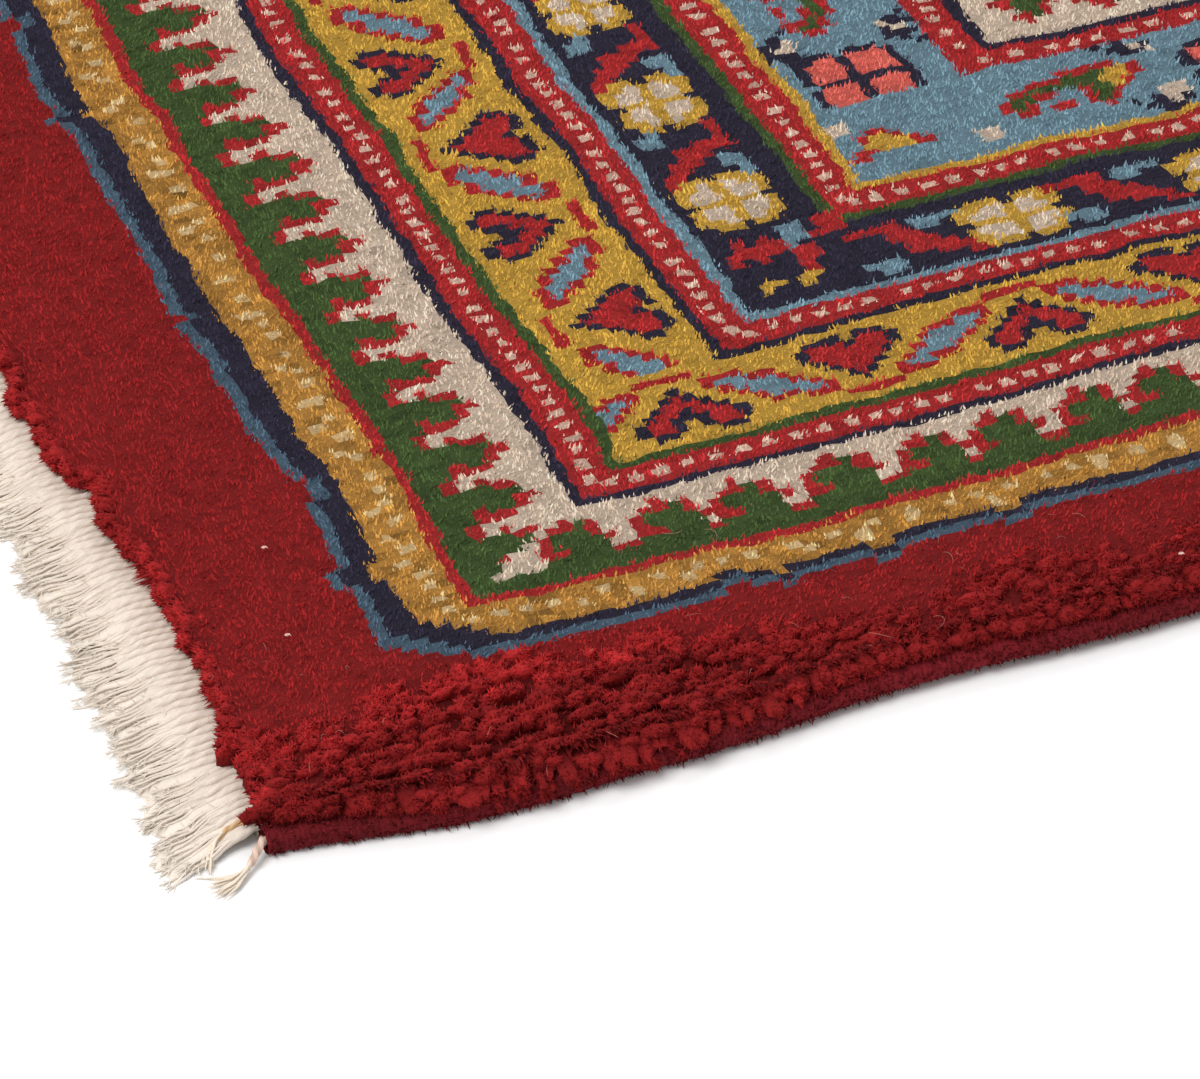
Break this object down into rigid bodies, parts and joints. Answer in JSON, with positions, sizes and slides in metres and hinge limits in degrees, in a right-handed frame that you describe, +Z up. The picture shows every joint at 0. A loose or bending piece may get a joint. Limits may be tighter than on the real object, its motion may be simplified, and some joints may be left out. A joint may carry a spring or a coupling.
{
  "type": "persian rug",
  "caption": "Hand-knotted wool rug lying flat, with a plush pile, nested patterned borders, overcast side selvedges and a cotton fringe at both ends.",
  "frame": {"origin": "on the floor under the middle of the rug, at the bottom centre of its box", "axes": "+X along the warps, the longest side; +Y along the rows of knots; +Z up, out of the pile"},
  "size_m": [1.548, 1.0116, 0.0131],
  "materials": {
    "pile": "plush knotted wool pile, dyed",
    "selvedge": "overcast wool yarn",
    "cotton": "undyed plied cotton"
  },
  "bodies": {
    "root": {"rug_body": "pile", "selvedge_front": "selvedge", "selvedge_back": "selvedge", "fringe_left": "cotton", "fringe_right": "cotton"}
  },
  "joints": []
}
